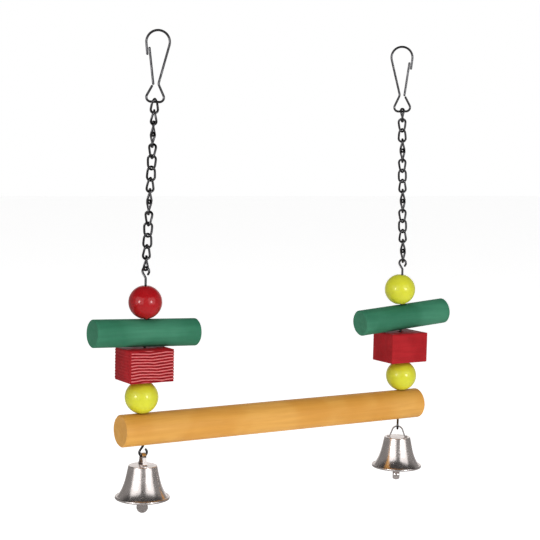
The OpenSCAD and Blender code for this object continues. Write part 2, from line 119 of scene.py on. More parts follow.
class Bench:
    """Adds nodes to a tree and joins them."""

    def __init__(self, tree: NodeTree) -> None:
        """Starts on a node tree.

        Args:
            tree: The material's, world's or group's node tree.
        """
        self.tree = tree

    def feed(self, socket: Socket, value: object) -> None:
        """Links a socket to an input, or sets the input's value.

        Args:
            socket: The input.
            value: A socket, or a plain value.
        """
        if isinstance(value, Socket):
            self.tree.links.new(value, socket)
        else:
            socket.default_value = value

    def fill(self, node: Node, **inputs: object) -> Node:
        """Feeds a node's inputs.

        Args:
            node: The node.
            **inputs: Values or sockets for its inputs, by name, with _ for a space.

        Returns:
            The same node.
        """
        for name, value in inputs.items():
            self.feed(node.inputs[name.replace("_", " ")], value)
        return node

    def add(self, kind: str, settings: dict | None = None, **inputs: object) -> Node:
        """Adds a node.

        Args:
            kind: The node's type name, without its ShaderNode prefix.
            settings: Attributes to set on the node.
            **inputs: Values or sockets for its inputs, by name, with _ for a space.

        Returns:
            The new node.
        """
        node = self.tree.nodes.new("ShaderNode" + kind)
        for name, value in (settings or {}).items():
            setattr(node, name, value)
        return self.fill(node, **inputs)

    def group(self, tree: NodeTree, **inputs: object) -> Node:
        """Places a shared group.

        Args:
            tree: The group.
            **inputs: Values or sockets for its inputs, by name.

        Returns:
            The group's node.
        """
        return self.add("Group", {"node_tree": tree}, **inputs)

    def math(self, operation: str, a: object, b: object) -> Socket:
        """A sum on two numbers.

        Args:
            operation: The Math node's operation.
            a: The first number or socket.
            b: The second number or socket.

        Returns:
            The result's socket.
        """
        node = self.add("Math", {"operation": operation})
        self.feed(node.inputs[0], a)
        self.feed(node.inputs[1], b)
        return node.outputs[0]

    def times(self, a: object, b: object) -> Socket:
        """The product of two numbers."""
        return self.math("MULTIPLY", a, b)

    def ramp(
        self,
        value: object,
        low: float,
        high: float,
        to_low: float = 0.0,
        to_high: float = 1.0,
    ) -> Socket:
        """Spreads a range of one number over another, smoothly.

        Args:
            value: The number's socket.
            low: Where the range starts.
            high: Where it ends.
            to_low: The result at its start.
            to_high: The result at its end.

        Returns:
            The result's socket.
        """
        node = self.add("MapRange", {"interpolation_type": "SMOOTHSTEP"}, Value=value)
        self.fill(node, From_Min=low, From_Max=high, To_Min=to_low, To_Max=to_high)
        return node.outputs["Result"]

    def mix(self, share: object, a: object, b: object) -> Socket:
        """Blends two colours.

        Args:
            share: How much of the second shows.
            a: The first colour or socket.
            b: The second colour or socket.

        Returns:
            The blend's socket.
        """
        node = self.add("Mix", {"data_type": "RGBA"})
        for place, value in ((0, share), (6, a), (7, b)):
            self.feed(node.inputs[place], value)
        return node.outputs[2]

    def stretch(self, where: Socket, scale: Triple) -> Socket:
        """Coordinates scaled along X, Y and Z."""
        return self.add("Mapping", Vector=where, Scale=scale).outputs[0]

    def place(self, scale: Triple = (1, 1, 1)) -> Socket:
        """Object coordinates, with so many pattern units for each metre along X, Y and Z."""
        return self.stretch(self.add("TexCoord").outputs["Object"], scale)

    def noise(self, where: Socket, scale: object, **shape: float) -> Socket:
        """A soft noise.

        Args:
            where: The coordinates.
            scale: Its scale, or a socket.
            **shape: The noise node's other inputs, by name.

        Returns:
            The noise's socket, from 0 to 1.
        """
        return self.add("TexNoise", Vector=where, Scale=scale, **shape).outputs["Fac"]


class SharedEffects:
    """The shader node groups that more than one finish uses, each built once."""

    def __init__(self) -> None:
        """Builds the groups."""
        patterned = ("Coordinates", "Scale")
        limited = (*patterned, "Low", "High")
        grain_outputs = ("Grain", "Pores", "Tone")
        self.grain = self._group("wood_grain", (*patterned, "Strength"), grain_outputs, self._grain)
        self.mottle = self._group("soft_mottle", limited, ("Value",), self._mottle)
        self.scratches = self._group("fine_scratches", patterned, ("Marks",), self._scratches)

    def mottled(self, bench: Bench, where: Socket, scale: float, low: float, high: float) -> Socket:
        """A soft uneven value.

        Args:
            bench: Works on the material's tree.
            where: The coordinates.
            scale: Patches for each metre.
            low: The least value.
            high: The greatest value.

        Returns:
            The value's socket.
        """
        mottle = bench.group(self.mottle, Coordinates=where, Scale=scale, Low=low, High=high)
        return mottle.outputs["Value"]

    @staticmethod
    def _group(
        name: str,
        inputs: Iterable[str],
        outputs: Iterable[str],
        build: Callable[[Bench, Node, Node], None],
    ) -> NodeTree:
        """Makes a node group.

        Args:
            name: The group's name.
            inputs: Names of its inputs; Coordinates is a vector, the rest are numbers.
            outputs: Names of its number outputs.
            build: Fills it, given a bench and its input and output nodes.

        Returns:
            The group's tree.
        """
        tree = bpy.data.node_groups.new(name, "ShaderNodeTree")
        for socket in inputs:
            kind = "NodeSocketVector" if socket == "Coordinates" else "NodeSocketFloat"
            tree.interface.new_socket(name=socket, in_out="INPUT", socket_type=kind)
        for socket in outputs:
            tree.interface.new_socket(name=socket, in_out="OUTPUT", socket_type="NodeSocketFloat")
        build(Bench(tree), tree.nodes.new("NodeGroupInput"), tree.nodes.new("NodeGroupOutput"))
        return tree

    @staticmethod
    def _grain(bench: Bench, given: Node, result: Node) -> None:
        """Long fibres along X, with fine pores and a slow change of tone.

        Args:
            bench: Works on the group's tree.
            given: The group's inputs.
            result: The group's outputs.
        """
        where, scale, strength = (given.outputs[i] for i in range(3))
        lie = bench.stretch(where, (0.06, 1, 1))
        rings = bench.noise(lie, scale, Detail=4.0, Roughness=0.6, Distortion=0.35)
        bands = bench.ramp(rings, low=0.36, high=0.64)
        fine_lie = bench.stretch(where, (0.16, 4.2, 4.2))
        fibre = bench.noise(fine_lie, scale, Detail=3.0, Roughness=0.7)
        pores = bench.ramp(fibre, low=0.56, high=0.72)
        slow_scale = bench.times(scale, 0.12)
        bench.fill(
            result,
            Grain=bench.times(bands, strength),
            Pores=bench.times(pores, strength),
            Tone=bench.noise(where, slow_scale, Detail=2.0),
        )

    @staticmethod
    def _mottle(bench: Bench, given: Node, result: Node) -> None:
        """A soft uneven value between Low and High.

        Args:
            bench: Works on the group's tree.
            given: The group's inputs.
            result: The group's outputs.
        """
        where, scale, low, high = (given.outputs[i] for i in range(4))
        share = bench.ramp(bench.noise(where, scale, Detail=5.0, Roughness=0.6), low=0.3, high=0.7)
        rise = bench.times(share, bench.math("SUBTRACT", high, low))
        bench.fill(result, Value=bench.math("ADD", low, rise))

    @staticmethod
    def _scratches(bench: Bench, given: Node, result: Node) -> None:
        """Short fine marks in two directions.

        Args:
            bench: Works on the group's tree.
            given: The group's inputs.
            result: The group's outputs.
        """
        marks = []
        for lie in ((0.12, 3, 1), (3, 0.15, 1.2)):
            where = bench.stretch(given.outputs["Coordinates"], lie)
            noise = bench.noise(where, given.outputs["Scale"], Detail=2.0, Roughness=0.5)
            marks.append(bench.ramp(noise, low=0.62, high=0.7))
        bench.fill(result, Marks=bench.math("MAXIMUM", *marks))


class Finish:
    """A named surface; each kind says how its nodes are laid out."""

    def material(self, name: str, effects: SharedEffects) -> bpy.types.Material:
        """Makes the material.

        Args:
            name: The material's name.
            effects: The shared shader groups.

        Returns:
            The new material.
        """
        material = bpy.data.materials.new(name)
        material.use_nodes = True
        material.node_tree.nodes.clear()
        bench = Bench(material.node_tree)
        shader = bench.add("BsdfPrincipled")
        bench.add("OutputMaterial", Surface=shader.outputs[0])
        self.lay_out(bench, shader, effects)
        return material

    def lay_out(self, bench: Bench, shader: Node, effects: SharedEffects) -> None:
        """Fills the shader's inputs; each kind of finish does this.

        Args:
            bench: Works on the material's tree.
            shader: The Principled shader.
            effects: The shared shader groups.
        """
        raise NotImplementedError


@dataclass(frozen=True)
class StainedWood(Finish):
    """Wood with a thin stain that the grain shows through.

    Attributes:
        base: The stain's colour.
        deep: Its colour in the grain's dark bands.
        pale: Its colour where it is rubbed or thin.
        scale: Grain bands for each metre.
        strength: How much the grain shows, from 0 to 1.
        roughness: The surface's roughness.
        relief: Height of the grain's relief, in metres.
        brushed: Height of the cross marks that a saw or brush left, in metres.
        sheen: How strongly the surface mirrors, from 0 to 1.
        pale_share: How much of the pale colour shows.
        band_share: How much of the deep colour the bands show.
        pore_share: How much of it the pores show.
        spread: How far the roughness varies either way.
        brush_lie: Cross marks for each metre along X, Y and Z.
        worn: The painted highlight on a sawn face's crests.
        worn_share: How much of it shows.
        shade: The painted shade in a sawn face's furrows.
        shade_share: How much of it shows.
    """

    base: Colour
    deep: Colour
    pale: Colour
    scale: float
    strength: float
    roughness: float
    relief: float
    brushed: float = 0.0
    sheen: float = 0.25
    pale_share: float = 0.7
    band_share: float = 0.55
    pore_share: float = 0.45
    spread: float = 0.07
    brush_lie: Triple = (1400, 300, 120)
    # Painted highlight on a sawn face's crests and painted shade in its furrows.
    worn: Colour = (0.86, 0.3, 0.3)
    worn_share: float = 0.6
    shade: Colour = (0.11, 0.002, 0.004)
    shade_share: float = 0.75

    def lay_out(self, bench: Bench, shader: Node, effects: SharedEffects) -> None:
        """Grain in the colour, roughness and height.

        Args:
            bench: Works on the material's tree.
            shader: The Principled shader.
            effects: The shared shader groups.
        """
        where = bench.place()
        pattern = {"Scale": self.scale, "Strength": self.strength}
        grain = bench.group(effects.grain, Coordinates=where, **pattern)
        bands, pores, tone = (grain.outputs[name] for name in ("Grain", "Pores", "Tone"))
        paleness = bench.ramp(tone, low=0.35, high=0.65, to_high=self.pale_share)
        colour = bench.mix(paleness, rgba(self.base), rgba(self.pale))
        for mask, share in ((bands, self.band_share), (pores, self.pore_share)):
            colour = bench.mix(bench.times(mask, share), colour, rgba(self.deep))
        limits = (self.roughness - self.spread, self.roughness + self.spread)
        roughness = effects.mottled(bench, where, 260.0, *limits)
        height = bench.math("SUBTRACT", bench.times(bands, 0.4), pores)
        bump = bench.add("Bump", Height=height, Distance=self.relief, Strength=1.0)
        if self.brushed:
            marks = bench.noise(bench.place(self.brush_lie), 1.0, Detail=3.0, Roughness=0.6)
            laid = {"Distance": self.brushed, "Strength": 1.0, "Normal": bump.outputs[0]}
            bump = bench.add("Bump", Height=marks, **laid)
            # Painted highlight on the sawn crests and painted shade in the furrows.
            colour = self.sawn(bench, colour)
        bench.fill(shader, Base_Color=colour, Roughness=roughness, Normal=bump.outputs[0])
        bench.fill(shader, Specular_IOR_Level=self.sheen)

    def sawn(self, bench: Bench, colour: Socket) -> Socket:
        """Paints a highlight on the crests of a sawn face and painted shade in its furrows.

        Args:
            bench: Works on the material's tree.
            colour: The stain so far.

        Returns:
            The new colour's socket.
        """
        # Painted highlight on the crests and painted shade in the furrows.
        painted_light = ((CREST, self.worn_share, self.worn), (FURROW, self.shade_share, self.shade))
        for name, share, stain in painted_light:
            mask = bench.add("Attribute", {"attribute_name": name}).outputs["Fac"]
            colour = bench.mix(bench.times(mask, share), colour, rgba(stain))
        return colour


@dataclass(frozen=True)
class Lacquer(Finish):
    """Thick gloss paint on a wooden bead.

    Attributes:
        base: The paint's colour.
        shade: Its colour in the uneven patches.
        roughness: The paint's roughness under its clear coat.
        ripple: Height of the paint's ripple, in metres.
    """

    base: Colour
    shade: Colour
    roughness: float = 0.3
    ripple: float = 0.00006

    def lay_out(self, bench: Bench, shader: Node, effects: SharedEffects) -> None:
        """Slightly uneven colour under a clear coat with a faint ripple.

        Args:
            bench: Works on the material's tree.
            shader: The Principled shader.
            effects: The shared shader groups.
        """
        where = bench.place()
        uneven = effects.mottled(bench, where, scale=170.0, low=0.0, high=0.6)
        limits = {"low": self.roughness - 0.05, "high": self.roughness + 0.08}
        slow = bench.noise(where, 240.0, Detail=1.0)
        bump = bench.add("Bump", Height=slow, Distance=self.ripple, Strength=0.5)
        bench.fill(
            shader,
            Base_Color=bench.mix(uneven, rgba(self.base), rgba(self.shade)),
            Roughness=effects.mottled(bench, where, scale=420.0, **limits),
            Normal=bump.outputs[0],
            Specular_IOR_Level=0.1,
            Coat_Weight=0.7,
            Coat_Roughness=0.09,
            Subsurface_Weight=0.05,
            Subsurface_Radius=(0.002, 0.002, 0.001),
        )


@dataclass(frozen=True)
class PlatedMetal(Finish):
    """Plated steel, with a soft change of tone and fine marks.

    Attributes:
        base: The plate's colour.
        dull: Its colour where it is rubbed or tarnished.
        low: The least roughness.
        high: The greatest roughness.
        scale: Patches for each metre.
        marks: Depth of the fine marks, in metres.
        ripple: Height of the slow unevenness of the pressed or drawn metal, in metres.
        bump_share: How much the marks and the ripple show.
        mark_roughness: How much rougher a mark is.
    """

    base: Colour
    dull: Colour
    low: float
    high: float
    scale: float
    marks: float
    ripple: float = 0.0
    bump_share: float = 0.6
    mark_roughness: float = 0.12

    def lay_out(self, bench: Bench, shader: Node, effects: SharedEffects) -> None:
        """Mottled colour and roughness, with fine marks in the height.

        Args:
            bench: Works on the material's tree.
            shader: The Principled shader.
            effects: The shared shader groups.
        """
        where = bench.place()
        tone = effects.mottled(bench, where, self.scale, low=0.0, high=1.0)
        rough = effects.mottled(bench, where, self.scale * 2.3, self.low, self.high)
        scratches = bench.group(effects.scratches, Coordinates=where, Scale=520.0)
        marks = scratches.outputs["Marks"]
        depth = {"Distance": self.marks, "Strength": self.bump_share}
        bump = bench.add("Bump", {"invert": True}, Height=marks, **depth)
        if self.ripple:
            slow = bench.noise(where, 140.0, Detail=1.0)
            depth = {"Distance": self.ripple, "Strength": self.bump_share}
            bump = bench.add("Bump", Height=slow, Normal=bump.outputs[0], **depth)
        bench.fill(
            shader,
            Base_Color=bench.mix(tone, rgba(self.base), rgba(self.dull)),
            Roughness=bench.math("ADD", rough, bench.times(marks, self.mark_roughness)),
            Normal=bump.outputs[0],
            Metallic=1.0,
        )


@dataclass(frozen=True)
class PaleCard(Finish):
    """The studio's white floor.

    Attributes:
        tone: How white it is.
        glow: How much light it gives of its own.
    """

    tone: float = 0.92
    glow: float = 0.7

    def lay_out(self, bench: Bench, shader: Node, effects: SharedEffects) -> None:
        """Matt white with a faint unevenness.

        Args:
            bench: Works on the material's tree.
            shader: The Principled shader.
            effects: The shared shader groups.
        """
        limits = {"low": self.tone - 0.01, "high": self.tone}
        tone = effects.mottled(bench, bench.place(), scale=2.0, **limits)
        bench.fill(shader, Base_Color=tone, Roughness=0.9)
        bench.fill(shader, Emission_Color=WHITE, Emission_Strength=self.glow)


class Finishes:
    """Every material of the swing, made once and handed to its pieces.

    Attributes:
        KINDS: The finish of each slot.
    """

    KINDS: ClassVar[dict[Slot, Finish]] = {
        Slot.PERCH: StainedWood(
            base=(0.6, 0.28, 0.045), deep=(0.46, 0.19, 0.025), pale=(0.68, 0.36, 0.08),
            scale=300.0, strength=0.5, roughness=0.5, relief=0.00006,
        ),
        Slot.GREEN: StainedWood(
            base=(0.021, 0.148, 0.078), deep=(0.012, 0.1, 0.053), pale=(0.045, 0.21, 0.12),
            scale=340.0, strength=0.5, roughness=0.66, relief=0.00009,
        ),
        Slot.RED: StainedWood(
            base=(0.32, 0.006, 0.01), deep=(0.2, 0.004, 0.007), pale=(0.42, 0.015, 0.02),
            scale=380.0, strength=0.6, roughness=0.5, relief=0.00008, brushed=0.00016, sheen=0.1,
        ),
        Slot.RED_BEAD: Lacquer(base=(0.36, 0.004, 0.007), shade=(0.29, 0.003, 0.006)),
        Slot.YELLOW_BEAD: Lacquer(base=(0.6, 0.6, 0.03), shade=(0.54, 0.54, 0.035)),
        Slot.WIRE: PlatedMetal(
            base=(0.1, 0.1, 0.105), dull=(0.06, 0.06, 0.063),
            low=0.08, high=0.16, scale=420.0, marks=0.000006,
        ),
        Slot.BELL: PlatedMetal(
            base=(0.8, 0.74, 0.72), dull=(0.64, 0.59, 0.57),
            low=0.16, high=0.25, scale=90.0, marks=0.00001, ripple=0.00003,
        ),
    }

    def __init__(self) -> None:
        """Makes the shared effects and the materials."""
        self.effects = SharedEffects()
        self.materials = {
            slot: kind.material(slot.value, self.effects) for slot, kind in self.KINDS.items()
        }

    def floor(self) -> bpy.types.Material:
        """The studio floor's material."""
        return PaleCard().material("studio_floor", self.effects)


class Workshop:
    """Turns bmeshes into dressed pieces that ride on the frame's bodies."""

    def __init__(self, frame: dict, finishes: Finishes) -> None:
        """Keeps what each piece needs.

        Args:
            finishes: The materials.
        """
        self.frame = frame
        self.finishes = finishes
        bodies = frame["record"]["behaviour"]["bodies"]
        self.body_of = {node: body for body, nodes in bodies.items() for node in nodes}

    def piece(
        self,
        name: str,
        mesh: Mesh,
        node: str,
        slot: Slot,
        sharp: float = 40.0,
    ) -> bpy.types.Object:
        """Makes a piece that stands for a node.

        Args:
            name: The piece's name.
            mesh: Its shape, in place; it is freed here.
            node: The node that it replaces.
            slot: Its material slot.
            sharp: The angle, in degrees, over which an edge stays crisp.

        Returns:
            The new object.
        """
        limit = math.radians(sharp)
        for face in mesh.faces:
            face.smooth = True
        for edge in mesh.edges:
            edge.smooth = len(edge.link_faces) == 2 and edge.calc_face_angle(0.0) < limit
        data = bpy.data.meshes.new(name)
        mesh.to_mesh(data)
        mesh.free()
        data.materials.append(self.finishes.materials[slot])
        made = bpy.data.objects.new(name, data)
        bpy.context.scene.collection.objects.link(made)
        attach(made, self.body_of[node])
        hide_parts(node)
        LOG.info("%s stands for %s: %d faces", name, node, len(data.polygons))
        return made

    def copy_of(self, node: str) -> Mesh:
        """A node's own mesh with its loose triangles joined.

        Args:
            node: The node's name.

        Returns:
            The merged copy.
        """
        mesh = bmesh.new()
        mesh.from_mesh(self.frame["nodes"][node].data)
        bmesh.ops.remove_doubles(mesh, verts=mesh.verts, dist=NODE_SEAM)
        bmesh.ops.recalc_face_normals(mesh, faces=mesh.faces)
        return mesh


@dataclass(frozen=True)
class Span:
    """Where the swing's own lines lie, in millimetres and degrees, as the construction has them.

    Attributes:
        rod_gap: Distance between the rods.
        lean: Lean of each chain from upright.
        perch_z: Height of the perch's axis.
        crown_z: Height of a bell's crown over that axis.
    """

    rod_gap: float = 188.6
    lean: float = 2.5
    perch_z: float = -233.241
    crown_z: float = -21.6583

    def rod_x(self, side: Side) -> float:
        """Place of a rod along the perch."""
        return side.value * self.rod_gap / 2


def centre_of(node: str) -> Vector:
    """The middle of a node's box, in metres."""
    low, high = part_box(node)
    return (Vector(low) + Vector(high)) / 2


def ring(mesh: Mesh, radius: float, segments: int, place: Matrix) -> Edges:
    """Adds a circle of edges.

    Args:
        mesh: The mesh that it goes into.
        radius: Its radius.
        segments: How many edges it has.
        place: Where it goes; it starts flat about Z.

    Returns:
        Its edges.
    """
    circle = {"cap_ends": False, "segments": segments, "radius": radius}
    made = bmesh.ops.create_circle(mesh, matrix=place, **circle)
    return list({edge for vert in made["verts"] for edge in vert.link_edges})


def drawn(mesh: Mesh, edges: Edges, way: Vector, steps: int) -> Edges:
    """Draws a loop of edges out straight.

    Args:
        mesh: The mesh.
        edges: The open loop.
        way: How far it goes in all.
        steps: In how many stretches.

    Returns:
        The loop at the far end.
    """
    for _ in range(steps):
        out = bmesh.ops.extrude_edge_only(mesh, edges=edges)["geom"]
        verts = [g for g in out if isinstance(g, bmesh.types.BMVert)]
        bmesh.ops.translate(mesh, verts=verts, vec=way / steps)
        new_edges = [g for g in out if isinstance(g, bmesh.types.BMEdge)]
        edges = [edge for edge in new_edges if all(vert in out for vert in edge.verts)]
    return edges


def bent(
    mesh: Mesh,
    edges: Edges,
    centre: Vector,
    axis: Vector,
    angle: float,
    steps: int,
) -> Edges:
    """Carries a loop of edges round a bend.

    Args:
        mesh: The mesh.
        edges: The open loop.
        centre: A point on the bend's axis.
        axis: The axis.
        angle: The turn, in radians.
        steps: In how many stretches.

    Returns:
        The loop at the far end.
    """
    moved = list({vert for edge in edges for vert in edge.verts}) + edges
    bend = {"cent": centre, "axis": axis, "angle": angle, "steps": steps}
    out = bmesh.ops.spin(mesh, geom=moved, **bend)["geom_last"]
    return [g for g in out if isinstance(g, bmesh.types.BMEdge)]


def turned(profile: list[tuple[float, float]], steps: int) -> Mesh:
    """A shape turned on a lathe about Z.

    Args:
        profile: A closed outline of radius and height, in order.
        steps: How many flats the round has.

    Returns:
        The turned mesh.
    """
    mesh = bmesh.new()
    verts = [mesh.verts.new((radius, 0, height)) for radius, height in profile]
    edges = [mesh.edges.new((a, b)) for a, b in zip(verts, verts[1:] + verts[:1])]
    lathe = {"cent": (0, 0, 0), "axis": (0, 0, 1), "angle": FULL_TURN, "steps": steps}
    bmesh.ops.spin(mesh, geom=verts + edges, use_merge=True, **lathe)
    bmesh.ops.remove_doubles(mesh, verts=mesh.verts, dist=LATHE_SEAM)
    bmesh.ops.recalc_face_normals(mesh, faces=mesh.faces)
    return mesh


@dataclass(frozen=True)
class Chain:
    """One side's chain of twisted oval links, in millimetres and degrees.

    Attributes:
        side: Which end of the swing it is on.
        start: Turn of the first link.
        step: Turn from one link to the next.
        early: Extra turn over each of the first few.
        span: The swing's own lines.
        count: How many links there are.
        early_count: Over how many links the extra turn goes on.
        wire: Diameter of the wire.
        width: Outer width of a link.
        inner: Inner length of a link.
        twist: Turn from a link's lower end to its upper end.
        sides: Flats round the wire.
        arc_steps: Stretches in each end's bend.
        straight_steps: Stretches along each side.
        sharp: The angle over which an edge stays crisp.
    """

    side: Side
    start: float
    step: float
    early: float
    span: Span
    count: int = 15
    early_count: int = 3
    wire: float = 1.4
    width: float = 6.0
    inner: float = 6.85
    twist: float = 57.0
    sides: int = 12
    arc_steps: int = 12
    straight_steps: int = 5
    sharp: float = 80.0

    def oval(self) -> Mesh:
        """One link about the origin, twisted about Z."""
        mesh = bmesh.new()
        radius = (self.width - self.wire) / 2 * MM
        half = (self.inner + self.wire) / 2 * MM
        side = Vector((0, 0, 2 * (half - radius)))
        place = Matrix.Translation(Vector((radius, 0, 0)) - side / 2)
        loop = ring(mesh, self.wire / 2 * MM, self.sides, place)
        for way in (1, -1):
            loop = drawn(mesh, loop, way * side, self.straight_steps)
            loop = bent(mesh, loop, way * side / 2, Vector((0, -1, 0)), math.pi, self.arc_steps)
        bmesh.ops.remove_doubles(mesh, verts=mesh.verts, dist=LINK_SEAM)
        for vert in mesh.verts:
            turn = Matrix.Rotation(math.radians(self.twist) * vert.co.z / (2 * half), 3, "Z")
            bmesh.ops.rotate(mesh, cent=(0, 0, 0), matrix=turn, verts=[vert])
        bmesh.ops.recalc_face_normals(mesh, faces=mesh.faces)
        return mesh

    def turn_of(self, number: int) -> float:
        """The turn of a link, counted from 1 at the hook."""
        before = number - 1
        return self.start + before * self.step + min(before, self.early_count) * self.early

    def build(self, shop: Workshop) -> None:
        """Makes every link.

        Args:
            shop: Dresses the pieces.
        """
        lean = Matrix.Rotation(-self.side.value * math.radians(self.span.lean), 4, "Y")
        for number in range(1, self.count + 1):
            node = f"link_{self.side.word}_{number:02d}"
            turn = Matrix.Rotation(math.radians(self.turn_of(number)), 4, "Z")
            mesh = self.oval()
            mesh.transform(Matrix.Translation(centre_of(node)) @ lean @ turn)
            shop.piece(f"chain_{node}", mesh, node, Slot.WIRE, self.sharp)


@dataclass(frozen=True)
class Bell:
    """A small pressed bell, in millimetres.

    Attributes:
        side: Which end of the swing it hangs at.
        span: The swing's own lines.
        height: Height of the shell.
        crown_r: Radius of the flat crown.
        rim_r: Outer radius of the rolled lip.
        wall: Thickness of the shell.
        lip_r: Radius of the lip's round edge.
        lip_start: Where the lip's round starts, in degrees above the outward level.
        lip_end: Where it ends.
        corner_r: Radius of the crown's corner.
        straight_share: Share of the flare that is straight.
        power: Power of the rest of the flare.
        corner_steps: Stretches round the crown's corner.
        flare_steps: Stretches down the flare.
        lip_steps: Stretches round the lip.
        steps: Flats round the shell.
    """

    side: Side
    span: Span
    height: float = 20.1
    crown_r: float = 8.7
    rim_r: float = 16.5
    wall: float = 0.7
    lip_r: float = 0.9
    lip_start: float = 118.0
    lip_end: float = -215.0
    corner_r: float = 0.5
    straight_share: float = 0.55
    power: float = 4.0
    corner_steps: int = 6
    flare_steps: int = 28
    lip_steps: int = 20
    steps: int = 96

    def flare(self, share: float) -> float:
        """Outer radius at a share of the way down."""
        spread = self.straight_share * share + (1 - self.straight_share) * share**self.power
        return self.crown_r + (self.rim_r - self.lip_r - self.crown_r) * spread

    def profile(self) -> list[tuple[float, float]]:
        """The closed outline of the shell and its rolled lip, in metres."""
        lip_x, lip_z = self.rim_r - self.lip_r, -self.height + self.lip_r
        fall = lip_z + self.corner_r
        down = [i / self.flare_steps for i in range(1, self.flare_steps)]
        points = [(0.0, 0.0)]
        for i in range(self.corner_steps + 1):
            angle = math.pi / 2 * (1 - i / self.corner_steps)
            across, up = math.cos(angle) - 1, math.sin(angle) - 1
            points.append((self.crown_r + self.corner_r * across, self.corner_r * up))
        points += [(self.flare(t), fall * t - self.corner_r) for t in down]
        for i in range(self.lip_steps + 1):
            angle = self.lip_start + (self.lip_end - self.lip_start) * i / self.lip_steps
            across, up = math.cos(math.radians(angle)), math.sin(math.radians(angle))
            points.append((lip_x + self.lip_r * across, lip_z + self.lip_r * up))
        inside = reversed(down[:-1])
        points += [(self.flare(t) - self.wall, fall * t - self.corner_r) for t in inside]
        points += [(self.crown_r - self.wall - self.corner_r, -self.wall), (0.0, -self.wall)]
        return [(x * MM, z * MM) for x, z in points]

    def build(self, shop: Workshop) -> None:
        """Makes the shell.

        Args:
            shop: Dresses the pieces.
        """
        mesh = turned(self.profile(), self.steps)
        height = self.span.perch_z + self.span.crown_z
        mesh.transform(Matrix.Translation((self.span.rod_x(self.side) * MM, 0, height * MM)))
        shop.piece(f"bell_shell_{self.side.word}", mesh, f"bell_{self.side.word}", Slot.BELL)


@dataclass(frozen=True)
class Bead:
    """A lacquered wooden bead, in millimetres.

    Attributes:
        node: The node that it stands for.
        slot: Its paint.
        diameter: Diameter of the ball.
        bore: Diameter of its hole.
        lip: Width of the soft edge where the ball meets the hole.
        soft_x: How far the edge's middle point lies from the hole.
        soft_z: How far it lies below the edge's outer point.
        arc_steps: Stretches from hole to hole.
        steps: Flats round the ball.
        sharp: The angle over which an edge stays crisp.
    """

    node: str
    slot: Slot
    diameter: float = 20.0
    bore: float = 5.0
    lip: float = 0.45
    soft_x: float = 0.12
    soft_z: float = 0.02
    arc_steps: int = 34
    steps: int = 64
    sharp: float = 50.0

    def build(self, shop: Workshop) -> None:
        """Makes the bead.

        Args:
            shop: Dresses the pieces.
        """
        radius, hole = self.diameter / 2, self.bore / 2
        first = math.acos((hole + self.lip) / radius)
        angles = [first * (1 - 2 * i / self.arc_steps) for i in range(self.arc_steps + 1)]
        outline = [(radius * math.cos(angle), radius * math.sin(angle)) for angle in angles]
        top = radius * math.sin(first)
        edge = [(hole + self.soft_x, top - self.soft_z), (hole, top - self.lip)]
        outline += [(x, -z) for x, z in edge] + edge[::-1]
        mesh = turned([(x * MM, z * MM) for x, z in outline], self.steps)
        mesh.transform(Matrix.Translation(centre_of(self.node)))
        shop.piece(f"painted_{self.node}", mesh, self.node, self.slot, self.sharp)


